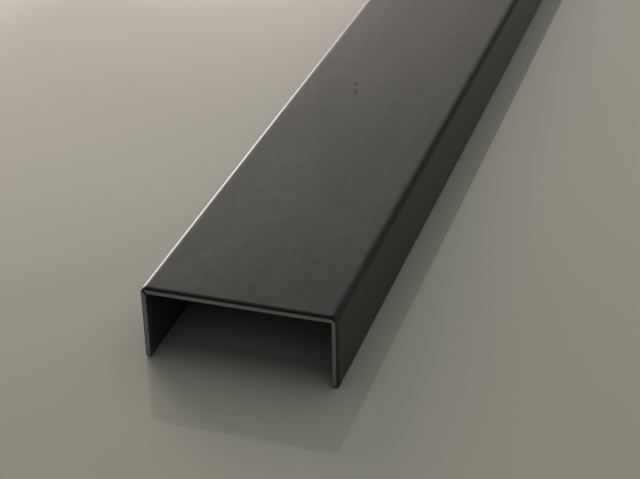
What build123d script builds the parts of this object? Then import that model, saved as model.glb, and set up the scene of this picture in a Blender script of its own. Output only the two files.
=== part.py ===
import os

from build123d import *

# Tile edge trim: one strip of stainless sheet with two V grooves milled along its back,
# folded along them into an upside-down U. The web is the show face, and the two flanges
# stand on their feet. Millimetres: X across the trim, Y along it, Z up from the feet.

stock_length = 2440.0   # eight-foot length, as the trim is folded and sold
trim_width = 25.0       # outside of one flange to outside of the other
trim_height = 10.0      # foot of a flange to the show face
sheet = 0.8             # thickness of the strip

left_fold_radius = 0.75   # outside of the left fold, where the groove's skin stretched round
right_fold_radius = 0.95  # the right one was folded over a softer edge
groove_skin = 0.2         # metal left under each V groove
left_seam_gap = 0.2       # the left groove's walls stand this far apart after folding
right_seam_gap = 0.04     # the right groove folded nearly shut

end_ease = 0.25         # deburred rim round each cut end, on the outside only
foot_ease = 0.3         # rounded long edges of the two feet

# The inside of the channel, between the flanges and under the web.
inner_half_width = trim_width / 2 - sheet
inner_height = trim_height - sheet


def along_stock(section):
    # A section drawn in X and Z, run out to both ends of the stock.
    return extrude(Plane.XZ * section, amount=stock_length / 2, both=True)


def folded_outside():
    # Everything inside the trim's outer skin, with the rim of both ends eased.
    outline = Rectangle(trim_width, trim_height, align=(Align.CENTER, Align.MIN))
    outline = fillet(outline.vertices().group_by(Axis.Y)[-1].sort_by(Axis.X)[0], left_fold_radius)
    outline = fillet(outline.vertices().group_by(Axis.Y)[-1].sort_by(Axis.X)[-1], right_fold_radius)
    outline = fillet(outline.vertices().group_by(Axis.Y)[0], foot_ease)
    bar = along_stock(outline)
    near_rim = bar.faces().sort_by(Axis.Y)[0].edges()
    far_rim = bar.faces().sort_by(Axis.Y)[-1].edges()
    return fillet(near_rim + far_rim, end_ease)


def foot_flare(side):
    # The scrap that rounds the inner long edge of one foot.
    scrap = Rectangle(foot_ease, foot_ease, align=(Align.MAX, Align.MAX))
    scrap -= Circle(foot_ease)
    scrap = Pos(inner_half_width + foot_ease, foot_ease) * scrap
    return scrap if side > 0 else mirror(scrap, Plane.YZ)


def channel():
    # The open inside, which takes the tile's edge or the backing strip.
    hollow = Rectangle(2 * inner_half_width, inner_height, align=(Align.CENTER, Align.MIN))
    hollow += foot_flare(-1)
    hollow += foot_flare(1)
    return along_stock(hollow)


def fold_seam(side, fold_radius, gap):
    # The slit between a groove's folded walls, along the fold's diagonal from the inner
    # corner out to the skin.
    fold_depth = (sheet - fold_radius) * 2**0.5 + fold_radius
    reach = Rectangle(gap + fold_depth - groove_skin, gap, align=(Align.MIN, Align.CENTER))
    reach = Pos(-gap, 0) * reach
    heading = 45 if side > 0 else 135
    return along_stock(Pos(side * inner_half_width, inner_height) * Rot(0, 0, heading) * reach)


def tile_trim():
    trim = folded_outside()
    trim -= channel()
    trim -= fold_seam(-1, left_fold_radius, left_seam_gap)
    trim -= fold_seam(1, right_fold_radius, right_seam_gap)
    return trim


os.makedirs("parts", exist_ok=True)
export_step(tile_trim(), "parts/u_channel.step")
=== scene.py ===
import math

import bpy
from mathutils import Matrix, Vector


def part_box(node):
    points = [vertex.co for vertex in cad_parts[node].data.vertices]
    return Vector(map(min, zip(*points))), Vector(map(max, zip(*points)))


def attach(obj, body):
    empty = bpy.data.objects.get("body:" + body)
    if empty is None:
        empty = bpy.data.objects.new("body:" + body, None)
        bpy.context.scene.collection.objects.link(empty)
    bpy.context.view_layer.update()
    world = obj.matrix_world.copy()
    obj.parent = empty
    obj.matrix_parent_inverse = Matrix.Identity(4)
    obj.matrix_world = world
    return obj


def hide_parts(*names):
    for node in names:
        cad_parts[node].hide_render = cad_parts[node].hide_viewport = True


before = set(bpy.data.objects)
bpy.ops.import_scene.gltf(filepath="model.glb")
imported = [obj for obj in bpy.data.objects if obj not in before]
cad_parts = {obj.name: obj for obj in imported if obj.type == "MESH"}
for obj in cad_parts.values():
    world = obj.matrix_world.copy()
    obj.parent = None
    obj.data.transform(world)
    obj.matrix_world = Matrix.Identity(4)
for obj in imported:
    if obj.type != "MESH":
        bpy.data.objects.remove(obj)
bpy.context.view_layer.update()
scene = bpy.context.scene
low, high = [Vector(corner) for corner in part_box("u_channel")]
print("frame loaded, trim is", [round(side * 1000, 1) for side in high - low], "mm")

# the trim itself, metres
trimSet = {
    "sheet": 0.0008,
    # reach of each fold's rounding along both faces, its fullness (0.5 is an arc), the arc
    # that comes nearest to it and the width of its slit
    "leftFold": {"reach": 0.0011, "fullness": 0.65, "radius": 0.00073, "gap": 0.00025},
    "rightFold": {"reach": 0.00125, "fullness": 0.6, "radius": 0.00096, "gap": 0.00004},
    "foldSteps": 20,
    "footRadius": 0.0003,
    "footSteps": 7,
    "rimDepth": 0.00028,      # the shear rolled the outside over at each cut end: this deep
    "rimLength": 0.0007,      # and this far back along the trim
    "rimSteps": 8,
    "innerRim": 0.00006,      # the same inside, just broken with a file
    "innerRimSteps": 2,
    "grooveSkin": 0.0002,     # metal that the grooves leave under the outside
    "cutOver": 0.004,         # how far the cutter reaches past both ends
    "mergeWithin": 0.0000005,   # vertices closer than this become one
    "smoothAngle": 40,        # degrees
}


def deselectAll():
    if bpy.context.object and bpy.context.object.mode != "OBJECT":
        bpy.ops.object.mode_set(mode="OBJECT")
    bpy.ops.object.select_all(action="DESELECT")


def editOnly(piece):
    deselectAll()
    piece.select_set(True)
    bpy.context.view_layer.objects.active = piece
    bpy.ops.object.mode_set(mode="EDIT")
    bpy.ops.mesh.select_all(action="DESELECT")
    bpy.ops.object.mode_set(mode="OBJECT")


# picks vertices, edges or faces by place, then leaves the piece in edit mode
def pick(piece, kind, test):
    editOnly(piece)
    mesh = piece.data
    bpy.context.tool_settings.mesh_select_mode = (kind == "VERT", kind == "EDGE", kind == "FACE")
    if kind == "VERT":
        for vert in mesh.vertices:
            vert.select = test(vert.co)
    elif kind == "EDGE":
        for edge in mesh.edges:
            ends = [mesh.vertices[i].co for i in edge.vertices]
            edge.select = test(ends[0], ends[1])
    else:
        for face in mesh.polygons:
            face.select = test(face.center, face.normal)
    bpy.ops.object.mode_set(mode="EDIT")


# a sheet standing across the trim, from one corner (x, z) to the other, at the given y
def sectionPlane(name, left, bottom, right, top, y):
    deselectAll()
    bpy.ops.mesh.primitive_plane_add(size=1, location=((left + right) / 2, y, (bottom + top) / 2),
                                     rotation=(math.radians(90), 0, 0))
    piece = bpy.context.object
    piece.name = name
    piece.scale = (right - left, top - bottom, 1)
    bpy.ops.object.transform_apply(location=True, rotation=True, scale=True)
    return piece


def near(a, b, slack=0.000002):
    return abs(a - b) < slack


def mergeDoubles():
    bpy.ops.mesh.select_all(action="SELECT")
    bpy.ops.mesh.remove_doubles(threshold=trimSet["mergeWithin"])


def pullAlong(piece, length):
    pick(piece, "FACE", lambda center, normal: True)
    bpy.ops.mesh.extrude_region_move(TRANSFORM_OT_translate={"value": (0, length, 0)})
    mergeDoubles()
    bpy.ops.mesh.normals_make_consistent(inside=False)
    bpy.ops.object.mode_set(mode="OBJECT")


# the solid bar: rounded folds and feet, and both end rims eased
def makeBar(settings):
    bar = sectionPlane("trim_body", low.x, low.z, high.x, high.z, low.y)
    for fold, side in ((settings["leftFold"], low.x), (settings["rightFold"], high.x)):
        pick(bar, "VERT", lambda co: near(co.z, high.z) and near(co.x, side))
        bpy.ops.mesh.bevel(offset=fold["reach"], segments=settings["foldSteps"], profile=fold["fullness"],
                           affect="VERTICES", clamp_overlap=False)
    pick(bar, "VERT", lambda co: near(co.z, low.z))
    bpy.ops.mesh.bevel(offset=settings["footRadius"], segments=settings["footSteps"], affect="VERTICES",
                       clamp_overlap=False)
    pullAlong(bar, high.y - low.y)
    pick(bar, "EDGE", lambda a, b: near(a.y, b.y))
    bpy.ops.mesh.bevel(offset=settings["rimDepth"], segments=settings["rimSteps"], affect="EDGES",
                       clamp_overlap=False)
    # drawn out along the trim, the round rim becomes the shear's rollover
    stretch = settings["rimLength"] / settings["rimDepth"]
    for end in (low.y, high.y):
        pick(bar, "VERT", lambda co: abs(co.y - end) < settings["rimDepth"] * 1.01)
        bpy.ops.transform.resize(value=(1, stretch, 1), center_override=(0, end, 0))
    bpy.ops.object.mode_set(mode="OBJECT")
    return bar


# what is taken out of it: the channel, the inner rounding of the feet and both groove slits
def makeCutter(settings):
    foot = settings["footRadius"]
    wall = high.x - settings["sheet"]
    roof = high.z - settings["sheet"]
    below = low.z - settings["cutOver"]
    cutter = sectionPlane("channelCutter", -wall - foot, below, wall + foot, roof,
                          low.y - settings["cutOver"])
    for place, normal in (((0, 0, low.z), (0, 0, 1)), ((-wall, 0, 0), (1, 0, 0)), ((wall, 0, 0), (1, 0, 0))):
        pick(cutter, "FACE", lambda center, facing: True)
        bpy.ops.mesh.bisect(plane_co=place, plane_no=normal)
    pick(cutter, "FACE", lambda center, facing: abs(center.x) > wall and center.z > low.z)
    bpy.ops.mesh.delete(type="FACE")
    pick(cutter, "FACE", lambda center, facing: True)
    bpy.ops.mesh.dissolve_limited(angle_limit=math.radians(1))
    pick(cutter, "VERT", lambda co: near(abs(co.x), wall) and near(co.z, low.z))
    bpy.ops.mesh.bevel(offset=foot, segments=settings["footSteps"], affect="VERTICES", clamp_overlap=False)
    mergeDoubles()

    # each slit runs up the fold's diagonal and stops short of the outside by the groove's skin
    for side, fold in ((-1, settings["leftFold"]), (1, settings["rightFold"])):
        gap = fold["gap"]
        foldDepth = (settings["sheet"] - fold["radius"]) * math.sqrt(2) + fold["radius"]
        corner = Vector((side * wall, 0, roof))
        pick(cutter, "VERT", lambda co: near(co.x, corner.x) and near(co.z, corner.z))
        bpy.ops.mesh.bevel(offset=gap / math.sqrt(2), segments=1, affect="VERTICES", clamp_overlap=False)
        bpy.ops.object.mode_set(mode="OBJECT")

        def byCorner(co):
            return abs(co.x - corner.x) < gap and abs(co.z - corner.z) < gap

        pick(cutter, "EDGE", lambda a, b: byCorner(a) and byCorner(b))
        reach = (foldDepth - settings["grooveSkin"] + gap / 2) / math.sqrt(2)
        bpy.ops.mesh.extrude_region_move(TRANSFORM_OT_translate={"value": (side * reach, 0, reach)})
    pullAlong(cutter, high.y - low.y + 2 * settings["cutOver"])
    return cutter


# breaks the sharp inner edge of both cut ends, from foot to slit and from slit to slit
def breakInnerRim(piece, settings):
    wall = high.x - settings["sheet"]
    roof = high.z - settings["sheet"]
    short = settings["leftFold"]["gap"] * 0.1    # stops it just before a slit
    lowest = settings["footRadius"] * 0.9

    def onInnerRim(co):
        onEnd = near(abs(co.y), high.y)
        onWall = near(abs(co.x), wall) and lowest < co.z < roof - short
        onRoof = near(co.z, roof) and abs(co.x) < wall - short
        return onEnd and (onWall or onRoof)

    pick(piece, "EDGE", lambda a, b: onInnerRim(a) and onInnerRim(b) and near(a.y, b.y)
         and (near(a.z, b.z) or near(a.x, b.x)))
    bpy.ops.mesh.bevel(offset=settings["innerRim"], segments=settings["innerRimSteps"], affect="EDGES",
                       clamp_overlap=False)
    # the bevel leaves two vertices in one place where it meets a foot
    mergeDoubles()
    bpy.ops.object.mode_set(mode="OBJECT")


def cutOut(piece, cutter):
    deselectAll()
    piece.select_set(True)
    bpy.context.view_layer.objects.active = piece
    cut = piece.modifiers.new("cutChannel", "BOOLEAN")
    cut.operation = "DIFFERENCE"
    cut.solver = "EXACT"
    cut.object = cutter
    bpy.ops.object.modifier_apply(modifier=cut.name)
    deselectAll()
    cutter.select_set(True)
    bpy.ops.object.delete()


body = makeBar(trimSet)
cutOut(body, makeCutter(trimSet))
breakInnerRim(body, trimSet)
deselectAll()
body.select_set(True)
bpy.context.view_layer.objects.active = body
bpy.ops.object.shade_smooth_by_angle(angle=math.radians(trimSet["smoothAngle"]))
even = body.modifiers.new("evenNormals", "WEIGHTED_NORMAL")
even.keep_sharp = True
bpy.ops.object.modifier_apply(modifier=even.name)
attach(body, "root")
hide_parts("u_channel")
print("trim modelled,", len(body.data.polygons), "faces")


worldSet = {
    "top": 11.0,              # brightest value a ramp below may hold
    "tint": (1.0, 0.915, 0.835),
    # a window's glow and the wider halo beside it: direction, then the cosine of the angle
    # from it with the brightness there
    "glowAt": (-0.652, 0.748, 0.129),
    "glow": [(0.0, 0.212), (0.3, 0.252), (0.5, 0.277), (0.62, 0.426), (0.72, 0.536), (0.79, 0.61),
             (0.808, 0.665), (0.84, 0.585), (0.87, 0.785), (0.9, 1.155), (0.925, 1.39), (0.95, 1.696),
             (0.97, 3.6), (0.98, 6.6), (0.986, 9.5), (0.99, 10.3), (0.996, 9.1), (1.0, 8.4)],
    "haloAt": (-0.333, 0.916, 0.225),
    "halo": [(0.85, 0.0), (0.9, 0.138), (0.93, 0.17), (0.955, 0.24), (0.965, 0.35), (0.975, 0.4),
             (0.985, 0.742), (0.995, 1.696)],
    # height of the direction (its sine), share of both that is left
    "overhead": [(0.0, 0.87), (0.38, 0.87), (0.42, 0.92), (0.46, 1.0), (0.5, 0.94), (0.53, 0.84),
                 (0.58, 0.745), (0.64, 0.735), (0.7, 0.68), (0.8, 0.55), (0.9, 0.385), (1.0, 0.275)],
}

lampSet = [
    {"name": "windowSoftbox", "place": (-3.85, 3.85, 2.54), "size": (3.2, 2.8), "power": 236,
     "color": (1.0, 0.765, 0.795)},
    {"name": "topSoftbox", "place": (0.1, 0.8, 5.5), "size": (9.0, 9.0), "power": 293,
     "color": (0.97, 1.0, 0.97)},
    {"name": "frontSoftbox", "place": (1.0, -5.3, 3.8), "size": (8.0, 3.0), "power": 40,
     "color": (0.7, 0.78, 1.0)},
]

floorSet = {"size": 120, "color": (0.25, 0.249, 0.21), "roughness": 0.06, "ior": 1.44}

cameraSet = {
    "place": (0.0581, -0.1434, 0.1078),   # from the near end's centre, on the floor
    "heading": 18.34,                     # degrees, turned left from straight along the trim
    "dip": 30.07,                         # degrees below the horizon
    "roll": -1.22,
    "lens": 87.02,
}


def makeCamera(settings):
    data = bpy.data.cameras.new("photoCamera")
    data.lens = settings["lens"]
    data.sensor_width = 36
    data.clip_start = 0.01
    data.clip_end = 200
    camera = bpy.data.objects.new("photoCamera", data)
    scene.collection.objects.link(camera)
    turn = Matrix.Rotation(math.radians(settings["heading"]), 4, "Z")
    turn = turn @ Matrix.Rotation(math.radians(90 - settings["dip"]), 4, "X")
    turn = turn @ Matrix.Rotation(math.radians(settings["roll"]), 4, "Z")
    camera.matrix_world = Matrix.Translation(Vector(settings["place"]) + Vector((0, low.y, 0))) @ turn
    scene.camera = camera


def stringNodes(tree, *pairs):
    for start, end in pairs:
        tree.links.new(start, end)


# puts a number or a color on a socket, or links another socket to it
def feed(tree, socket, value):
    if isinstance(value, (int, float)):
        socket.default_value = value
    elif isinstance(value, tuple):
        socket.default_value = value + (1,) if len(value) < len(socket.default_value) else value
    elif value is not None:
        tree.links.new(value, socket)


def mathNode(tree, operation, first, second=None):
    node = tree.nodes.new("ShaderNodeMath")
    node.operation = operation
    feed(tree, node.inputs[0], first)
    feed(tree, node.inputs[1], second)
    return node.outputs[0]


# a value's range brought to another one, held at its ends
def rangeNode(tree, value, fromLow, fromHigh, toLow, toHigh, smooth=False):
    node = tree.nodes.new("ShaderNodeMapRange")
    node.interpolation_type = "SMOOTHSTEP" if smooth else "LINEAR"
    for name, amount in (("Value", value), ("From Min", fromLow), ("From Max", fromHigh),
                         ("To Min", toLow), ("To Max", toHigh)):
        feed(tree, node.inputs[name], amount)
    return node.outputs["Result"]


def mixColors(tree, amount, first, second, blend="MIX"):
    node = tree.nodes.new("ShaderNodeMix")
    node.data_type = "RGBA"
    node.blend_type = blend
    # the color sockets come after those for numbers and vectors
    feed(tree, node.inputs[0], amount)
    feed(tree, node.inputs[6], first)
    feed(tree, node.inputs[7], second)
    return node.outputs[2]


# noise in the piece's own metres: waves per metre along each axis
def noiseNode(tree, vector, waves, detail=2.0, rough=0.5):
    mapping = tree.nodes.new("ShaderNodeMapping")
    mapping.inputs["Scale"].default_value = waves
    noise = tree.nodes.new("ShaderNodeTexNoise")
    noise.inputs["Scale"].default_value = 1.0
    noise.inputs["Detail"].default_value = detail
    noise.inputs["Roughness"].default_value = rough
    stringNodes(tree, (vector, mapping.inputs["Vector"]),
                (mapping.outputs["Vector"], noise.inputs["Vector"]))
    return noise.outputs["Fac"]


# the middle of a noise's range, where nearly all of it lies, spread from one value to another
def spreadNoise(tree, noise, toLow, toHigh):
    return rangeNode(tree, noise, 0.3, 0.7, toLow, toHigh)


def rampNode(tree, value, stops, top=1.0, tint=(1, 1, 1)):
    ramp = tree.nodes.new("ShaderNodeValToRGB")
    tree.links.new(value, ramp.inputs["Fac"])
    points = ramp.color_ramp.elements
    shades = [(place, [amount / top * share for share in tint] + [1]) for place, amount in stops]
    for point, (place, shade) in zip(points, (shades[0], shades[-1])):
        point.position = place
        point.color = shade
    for place, shade in shades[1:-1]:
        points.new(place).color = shade
    return ramp.outputs["Color"]


def makeWorld(settings):
    world = bpy.data.worlds.new("studioAir")
    scene.world = world
    world.use_nodes = True
    tree = world.node_tree
    tree.nodes.clear()
    out = tree.nodes.new("ShaderNodeOutputWorld")
    back = tree.nodes.new("ShaderNodeBackground")
    coords = tree.nodes.new("ShaderNodeTexCoord")
    parts = tree.nodes.new("ShaderNodeSeparateXYZ")
    tree.links.new(coords.outputs["Generated"], parts.inputs[0])
    lobes = []
    for name in ("glow", "halo"):
        aim = tree.nodes.new("ShaderNodeVectorMath")
        aim.operation = "DOT_PRODUCT"
        aim.inputs[1].default_value = Vector(settings[name + "At"]).normalized()
        tree.links.new(coords.outputs["Generated"], aim.inputs[0])
        lobes.append(rampNode(tree, aim.outputs["Value"], settings[name], settings["top"], settings["tint"]))
    overhead = rampNode(tree, parts.outputs["Z"], settings["overhead"])
    sky = mixColors(tree, 1.0, mixColors(tree, 1.0, lobes[0], lobes[1], "ADD"), overhead, "MULTIPLY")
    back.inputs["Strength"].default_value = settings["top"]
    stringNodes(tree, (sky, back.inputs["Color"]), (back.outputs[0], out.inputs[0]))


def makeLamp(settings):
    data = bpy.data.lights.new(settings["name"], "AREA")
    data.shape = "RECTANGLE"
    data.size, data.size_y = settings["size"]
    data.energy = settings["power"]
    data.color = settings["color"]
    lamp = bpy.data.objects.new(settings["name"], data)
    scene.collection.objects.link(lamp)
    lamp.location = settings["place"]
    lamp.rotation_euler = (-Vector(settings["place"])).to_track_quat("-Z", "Y").to_euler()
    # the trim mirrors the world's glow, and the softboxes stay out of it
    lamp.visible_camera = False
    lamp.visible_glossy = False


def newMaterial(name):
    material = bpy.data.materials.new(name)
    material.use_nodes = True
    return material, material.node_tree, material.node_tree.nodes["Principled BSDF"]


def makeFloor(settings):
    deselectAll()
    bpy.ops.mesh.primitive_plane_add(size=settings["size"])
    floor = bpy.context.object
    floor.name = "studioFloor"
    material, _, shader = newMaterial("paleFloor")
    shader.inputs["Base Color"].default_value = settings["color"] + (1,)
    shader.inputs["Roughness"].default_value = settings["roughness"]
    shader.inputs["IOR"].default_value = settings["ior"]
    floor.data.materials.append(material)


makeCamera(cameraSet)
makeWorld(worldSet)
for lamp in lampSet:
    makeLamp(lamp)
makeFloor(floorSet)
print("camera, world, lamps and floor placed")


def newGroup(name, inputs, outputs):
    group = bpy.data.node_groups.new(name, "ShaderNodeTree")
    for label, kind, value in inputs:
        socket = group.interface.new_socket(name=label, in_out="INPUT", socket_type=kind)
        if value is not None:
            socket.default_value = value
    for label in outputs:
        group.interface.new_socket(name=label, in_out="OUTPUT", socket_type="NodeSocketFloat")
    return group, group.nodes.new("NodeGroupInput").outputs, group.nodes.new("NodeGroupOutput").inputs


# noise waves per metre along X, Y and Z: across the trim, along it and up
grainSet = {"fine": (7000, 35, 7000), "broad": (900, 6, 900)}


# the mill's hairlines, which run along the strip: fine ones and broader streaks, 0 to 1
def makeBrushGrain(settings):
    group, inputs, outputs = newGroup("brushGrain", [("Position", "NodeSocketVector", None),
                                                     ("Streaks", "NodeSocketFloat", 0.5)],
                                      ["Hairlines", "Height"])
    fine = noiseNode(group, inputs["Position"], settings["fine"], 3.0, 0.6)
    broad = noiseNode(group, inputs["Position"], settings["broad"], 2.0, 0.5)
    blend = group.nodes.new("ShaderNodeMix")
    stringNodes(group, (inputs["Streaks"], blend.inputs[0]), (fine, blend.inputs[2]),
                (broad, blend.inputs[3]))
    hairlines = spreadNoise(group, blend.outputs[0], 0.0, 1.0)
    stringNodes(group, (hairlines, outputs["Hairlines"]), (fine, outputs["Height"]))
    return group


handlingSet = {
    "clouds": (85, 32, 85),
    "smudges": (130, 60, 130),
    "scratches": (260, 2600, 260),
    "places": (90, 55, 90),       # where the scratches are
    # noise values between which each of them comes up
    "smudgeRange": (0.52, 0.72),
    "scratchRange": (0.68, 0.74),
    "placeRange": (0.58, 0.66),
}


# what handling left: broad clouds in the finish, smudges that dull it and short faint scuffs, 0 to 1
def makeHandling(settings):
    group, inputs, outputs = newGroup("handlingMarks", [("Position", "NodeSocketVector", None),
                                                        ("Scuff Amount", "NodeSocketFloat", 0.5)],
                                      ["Clouds", "Smudges", "Scuffs"])
    clouds = spreadNoise(group, noiseNode(group, inputs["Position"], settings["clouds"], 3.0, 0.6), 0.0, 1.0)
    smudges = noiseNode(group, inputs["Position"], settings["smudges"], 4.0, 0.6)
    smudges = rangeNode(group, smudges, *settings["smudgeRange"], 0.0, 1.0, True)
    scratches = noiseNode(group, inputs["Position"], settings["scratches"], 1.0, 0.4)
    places = noiseNode(group, inputs["Position"], settings["places"], 2.0, 0.5)
    thin = rangeNode(group, scratches, *settings["scratchRange"], 0.0, 1.0, True)
    sparse = rangeNode(group, places, *settings["placeRange"], 0.0, 1.0, True)
    scuffs = mathNode(group, "MULTIPLY", mathNode(group, "MULTIPLY", thin, sparse), inputs["Scuff Amount"])
    stringNodes(group, (clouds, outputs["Clouds"]), (smudges, outputs["Smudges"]),
                (scuffs, outputs["Scuffs"]))
    return group


rubSet = {
    "foldStart": 0.0004,          # distance from a fold, in metres, at which its rub starts to fade
    "foot": (0.0001, 0.0007),     # heights between which the feet's rub fades
    "patches": (700, 160, 700),
    "patchRange": (0.4, 0.65),
    "least": 0.25,                # what is left of it between the patches
}


# wear along the folds, the feet and the cut ends, by how near each is, broken up by noise, 0 to 1
def makeEdgeRub(settings):
    group, inputs, outputs = newGroup("edgeRub", [("Position", "NodeSocketVector", None),
                                                  ("Fold Reach", "NodeSocketFloat", 0.0012),
                                                  ("End Reach", "NodeSocketFloat", 0.0012)], ["Rub", "Ends"])
    parts = group.nodes.new("ShaderNodeSeparateXYZ")
    group.links.new(inputs["Position"], parts.inputs[0])
    fromSide = mathNode(group, "SUBTRACT", high.x, mathNode(group, "ABSOLUTE", parts.outputs["X"]))
    fromTop = mathNode(group, "SUBTRACT", high.z, parts.outputs["Z"])
    fromFold = mathNode(group, "ADD", fromSide, fromTop)
    fromEnd = mathNode(group, "SUBTRACT", high.y, mathNode(group, "ABSOLUTE", parts.outputs["Y"]))
    fold = rangeNode(group, fromFold, settings["foldStart"], inputs["Fold Reach"], 1.0, 0.0, True)
    end = rangeNode(group, fromEnd, 0.0, inputs["End Reach"], 1.0, 0.0, True)
    foot = rangeNode(group, parts.outputs["Z"], *settings["foot"], 1.0, 0.0, True)
    patches = noiseNode(group, inputs["Position"], settings["patches"], 3.0, 0.6)
    patches = rangeNode(group, patches, *settings["patchRange"], settings["least"], 1.0)
    edges = mathNode(group, "MAXIMUM", mathNode(group, "MAXIMUM", fold, end), foot)
    stringNodes(group, (mathNode(group, "MULTIPLY", edges, patches), outputs["Rub"]), (end, outputs["Ends"]))
    return group


def placeGroup(tree, group, coords, values):
    node = tree.nodes.new("ShaderNodeGroup")
    node.node_tree = group
    tree.links.new(coords, node.inputs["Position"])
    for name, value in values.items():
        node.inputs[name].default_value = value
    return node.outputs


def objectCoords(tree):
    return tree.nodes.new("ShaderNodeTexCoord").outputs["Object"]


# relief of a height in metres, on top of another bump where there is one
def bumpNode(tree, height, distance, under=None):
    node = tree.nodes.new("ShaderNodeBump")
    node.inputs["Strength"].default_value = 1
    node.inputs["Distance"].default_value = distance
    tree.links.new(height, node.inputs["Height"])
    if under:
        tree.links.new(under, node.inputs["Normal"])
    return node.outputs["Normal"]


brushGrain = makeBrushGrain(grainSet)
handlingMarks = makeHandling(handlingSet)
edgeRub = makeEdgeRub(rubSet)

coatedSet = {
    "dark": (0.0585, 0.062, 0.0633),
    "light": (0.0739, 0.078, 0.0797),
    "grain": 0.06,            # how far the hairlines shift the tone, either way
    "mottle": 0.075,          # the same for the coat's orange peel
    "worn": (0.085, 0.082, 0.078),
    "wear": 0.5,
    "tint": (0.7, 0.7, 0.7, 1),   # reflection towards the horizon, as the coat dulls it
    "shine": 0.15,            # roughness where it is clean
    "smudged": 0.19,
    "rubbed": 0.03,           # added to it along rubbed edges, and by the speck
    "specked": 0.5,
    # noise waves per metre and heights in metres
    "waves": (60, 12, 60),
    "waveHeight": 0.00003,
    "peel": (1000, 500, 1000),
    "peelHeight": 0.000006,
    "grainHeight": 0.0000004,
    "marks": {"Scuff Amount": 0.35},
    "edges": {"Fold Reach": 0.0013, "End Reach": 0.0011},
    "streaks": {"Streaks": 0.45},
}

speckSet = {
    "tone": (0.018, 0.017, 0.016),
    "turn": 16.6,             # degrees its length is turned from the trim's
    "ragged": (4000, 1500, 4000),
    "raggedBy": 0.3,
    "fade": (0.4, 1.6),       # each dot fades between these shares of its size
    # two dots and the trail between them: place from the near end's centre, half width and
    # half length, all in metres, then how dark it is
    "dots": [((-0.00418, 0.06352), (0.00027, 0.00075), 0.55),
             ((-0.00346, 0.06088), (0.00029, 0.00087), 0.6),
             ((-0.00381, 0.0622), (0.00036, 0.0022), 0.1)],
}


# dirt on the show face: each dot is an ellipse with a soft, ragged edge
def speckMask(tree, coords, settings):
    turn = math.radians(settings["turn"])
    ragged = spreadNoise(tree, noiseNode(tree, coords, settings["ragged"]),
                         -settings["raggedBy"], settings["raggedBy"])
    dots = []
    for (x, y), (wide, long), depth in settings["dots"]:
        mapping = tree.nodes.new("ShaderNodeMapping")
        mapping.vector_type = "TEXTURE"
        mapping.inputs["Location"].default_value = (x, low.y + y, high.z)
        mapping.inputs["Rotation"].default_value = (0, 0, turn)
        mapping.inputs["Scale"].default_value = (wide, long, 1)
        radius = tree.nodes.new("ShaderNodeVectorMath")
        radius.operation = "LENGTH"
        stringNodes(tree, (coords, mapping.inputs["Vector"]), (mapping.outputs["Vector"], radius.inputs[0]))
        spread = mathNode(tree, "ADD", radius.outputs["Value"], ragged)
        dots.append(rangeNode(tree, spread, *settings["fade"], depth, 0.0, True))
    return mathNode(tree, "MAXIMUM", mathNode(tree, "MAXIMUM", dots[0], dots[1]), dots[2])


def makeCoated(settings):
    material, tree, shader = newMaterial("coatedSteel")
    coords = objectCoords(tree)
    grain = placeGroup(tree, brushGrain, coords, settings["streaks"])
    marks = placeGroup(tree, handlingMarks, coords, settings["marks"])
    edges = placeGroup(tree, edgeRub, coords, settings["edges"])
    tone = mixColors(tree, marks["Clouds"], settings["dark"], settings["light"])
    lines = rangeNode(tree, grain["Hairlines"], 0.0, 1.0, 1 - settings["grain"], 1 + settings["grain"])
    tone = mixColors(tree, 1.0, tone, lines, "MULTIPLY")
    mottle = noiseNode(tree, coords, settings["peel"], 2.0, 0.55)
    blotches = spreadNoise(tree, mottle, 1 - settings["mottle"], 1 + settings["mottle"])
    tone = mixColors(tree, 1.0, tone, blotches, "MULTIPLY")
    worn = mathNode(tree, "MULTIPLY", edges["Rub"], settings["wear"])
    tone = mixColors(tree, mathNode(tree, "MAXIMUM", worn, marks["Scuffs"]), tone, settings["worn"])
    specks = speckMask(tree, coords, speckSet)
    tone = mixColors(tree, specks, tone, speckSet["tone"])
    rough = rangeNode(tree, marks["Smudges"], 0.0, 1.0, settings["shine"], settings["smudged"])
    rough = mathNode(tree, "ADD", rough, mathNode(tree, "MULTIPLY", edges["Rub"], settings["rubbed"]))
    rough = mathNode(tree, "ADD", rough, mathNode(tree, "MULTIPLY", specks, settings["specked"]))
    # the sheet's slow waves, the coat's orange peel on them and the hairlines on top
    waves = bumpNode(tree, noiseNode(tree, coords, settings["waves"], 1.0, 0.4), settings["waveHeight"])
    peel = bumpNode(tree, mottle, settings["peelHeight"], waves)
    normal = bumpNode(tree, grain["Height"], settings["grainHeight"], peel)
    shader.inputs["Metallic"].default_value = 1
    shader.inputs["Specular Tint"].default_value = settings["tint"]
    stringNodes(tree, (tone, shader.inputs["Base Color"]), (rough, shader.inputs["Roughness"]),
                (normal, shader.inputs["Normal"]))
    return material


# how deep a point lies under the outside, in thicknesses of the sheet
def insideSheet(tree, coords):
    parts = tree.nodes.new("ShaderNodeSeparateXYZ")
    tree.links.new(coords, parts.inputs[0])
    fromSide = mathNode(tree, "SUBTRACT", high.x, mathNode(tree, "ABSOLUTE", parts.outputs["X"]))
    fromTop = mathNode(tree, "SUBTRACT", high.z, parts.outputs["Z"])
    depth = mathNode(tree, "DIVIDE", mathNode(tree, "MINIMUM", fromSide, fromTop), trimSet["sheet"])
    return depth, fromSide, fromTop, parts.outputs


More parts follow.
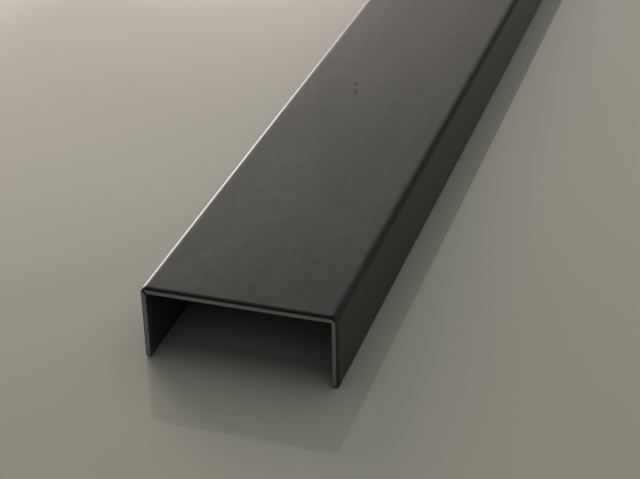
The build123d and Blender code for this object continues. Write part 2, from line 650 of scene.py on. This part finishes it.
insideSet = {
    "dark": (0.05, 0.057, 0.06),
    "light": (0.066, 0.0745, 0.078),
    "metal": 0.4,             # the rest is the dull coat on the strip's back
    "dull": 0.38,             # roughness where it is clean, and where it is smudged
    "duller": 0.5,
    "bare": (0.16, 0.157, 0.152),
    "bareAmount": 0.4,
    "slitShade": (0.012, 0.012, 0.011),   # painted shade: the slit walls made near black, as in deep shade
    "slitShadeFade": (0.9, 0.98),         # depths under the outside, in sheets
    "tint": (0.7, 0.7, 0.7, 1),
    "grain": 0.07,
    "grainHeight": 0.0000008,
    "marks": {"Scuff Amount": 0.6},
    "edges": {"Fold Reach": 0.0013, "End Reach": 0.0016},
    "streaks": {"Streaks": 0.6},
}


def makeInside(settings):
    material, tree, shader = newMaterial("channelInside")
    coords = objectCoords(tree)
    grain = placeGroup(tree, brushGrain, coords, settings["streaks"])
    marks = placeGroup(tree, handlingMarks, coords, settings["marks"])
    edges = placeGroup(tree, edgeRub, coords, settings["edges"])
    tone = mixColors(tree, marks["Clouds"], settings["dark"], settings["light"])
    lines = rangeNode(tree, grain["Hairlines"], 0.0, 1.0, 1 - settings["grain"], 1 + settings["grain"])
    tone = mixColors(tree, 1.0, tone, lines, "MULTIPLY")
    scraped = mathNode(tree, "MAXIMUM", edges["Ends"], marks["Scuffs"])
    bare = mathNode(tree, "MULTIPLY", scraped, settings["bareAmount"])
    tone = mixColors(tree, bare, tone, settings["bare"])
    # only a slit's walls are nearer to the outside than the sheet is thick
    depth = insideSheet(tree, coords)[0]
    # painted shade: the slit walls are darkened to near black
    slitShaded = rangeNode(tree, depth, *settings["slitShadeFade"], 1.0, 0.0)
    tone = mixColors(tree, slitShaded, tone, settings["slitShade"])
    rough = rangeNode(tree, marks["Smudges"], 0.0, 1.0, settings["dull"], settings["duller"])
    normal = bumpNode(tree, grain["Height"], settings["grainHeight"])
    shader.inputs["Metallic"].default_value = settings["metal"]
    shader.inputs["Specular Tint"].default_value = settings["tint"]
    stringNodes(tree, (tone, shader.inputs["Base Color"]), (rough, shader.inputs["Roughness"]),
                (normal, shader.inputs["Normal"]))
    return material


cutSet = {
    "burnished": (0.292, 0.302, 0.316),
    "torn": (0.37, 0.383, 0.4),
    "burnishedShine": 0.42,   # roughness of both
    "tornShine": 0.58,
    "burnishShare": (0.3, 0.5),   # of the sheet, from outside: here the burnish fades into the tear
    "wander": (900, 900, 900),
    "wanderBy": 0.15,
    "lines": 0.12,            # how far the striations shift the tone, either way
    "lineWaves": (5200, 0.7, 1),   # along the sheet in metres, through it in sheets
    "lineHeight": 0.000006,
    "grit": (9000, 9000, 9000),
    "gritHeight": 0.000012,
    "smudge": (0.2, 0.19, 0.175),
    "smudgeAmount": 0.3,
    "marks": {"Scuff Amount": 0.5},
}


# the sheared edges: striations across the sheet, burnished outside and torn inside
def makeCut(settings):
    material, tree, shader = newMaterial("cutSteel")
    coords = objectCoords(tree)
    depth, fromSide, fromTop, parts = insideSheet(tree, coords)
    # striations count along the sheet: X on the web, Z on the flanges
    onFlange = mathNode(tree, "GREATER_THAN", fromTop, fromSide)
    along = tree.nodes.new("ShaderNodeMix")
    stringNodes(tree, (onFlange, along.inputs[0]), (parts["X"], along.inputs[2]),
                (parts["Z"], along.inputs[3]))
    join = tree.nodes.new("ShaderNodeCombineXYZ")
    stringNodes(tree, (along.outputs[0], join.inputs["X"]), (depth, join.inputs["Y"]))
    striae = noiseNode(tree, join.outputs[0], settings["lineWaves"], 3.0, 0.65)
    wander = spreadNoise(tree, noiseNode(tree, coords, settings["wander"]),
                         -settings["wanderBy"], settings["wanderBy"])
    torn = mathNode(tree, "ADD", depth, wander)
    torn = rangeNode(tree, torn, *settings["burnishShare"], 0.0, 1.0, True)
    tone = mixColors(tree, torn, settings["burnished"], settings["torn"])
    lines = spreadNoise(tree, striae, 1 - settings["lines"], 1 + settings["lines"])
    tone = mixColors(tree, 1.0, tone, lines, "MULTIPLY")
    marks = placeGroup(tree, handlingMarks, coords, settings["marks"])
    smudged = mathNode(tree, "MULTIPLY", marks["Smudges"], settings["smudgeAmount"])
    tone = mixColors(tree, smudged, tone, settings["smudge"])
    rough = rangeNode(tree, torn, 0.0, 1.0, settings["burnishedShine"], settings["tornShine"])
    crumbs = noiseNode(tree, coords, settings["grit"], 2.0, 0.6)
    grit = bumpNode(tree, mathNode(tree, "MULTIPLY", crumbs, torn), settings["gritHeight"])
    normal = bumpNode(tree, striae, settings["lineHeight"], grit)
    shader.inputs["Metallic"].default_value = 1
    stringNodes(tree, (tone, shader.inputs["Base Color"]), (rough, shader.inputs["Roughness"]),
                (normal, shader.inputs["Normal"]))
    return material


for material in (makeCoated(coatedSet), makeInside(insideSet), makeCut(cutSet)):
    body.data.materials.append(material)


# 0 is the coated outside, 1 the inside with the slits, 2 the cut edges
def dressFaces(piece, settings):
    slack = 0.00001
    wall = high.x - settings["sheet"] + slack
    roof = high.z - settings["sheet"] + slack
    fold = max(settings["leftFold"]["reach"], settings["rightFold"]["reach"])
    counts = [0, 0, 0]
    for face in piece.data.polygons:
        center, normal = face.center, face.normal
        fromCorner = Vector((high.x - abs(center.x), high.z - center.z))
        # a slit's walls face across the fold's diagonal
        inSlit = fromCorner.x < fold and fromCorner.y < fold and abs(normal.y) < 0.1 and \
            normal.dot(Vector((math.copysign(1, center.x), 0, 1))) < 0.9
        if abs(normal.y) > 0.999 or normal.z < -0.999 and center.z < low.z + slack:
            face.material_index = 2
        elif abs(center.x) < wall and center.z < roof or inSlit:
            face.material_index = 1
        else:
            face.material_index = 0
        counts[face.material_index] += 1
    return counts


print("steel dressed, faces by material:", dressFaces(body, trimSet))

scene.view_settings.view_transform = "Standard"
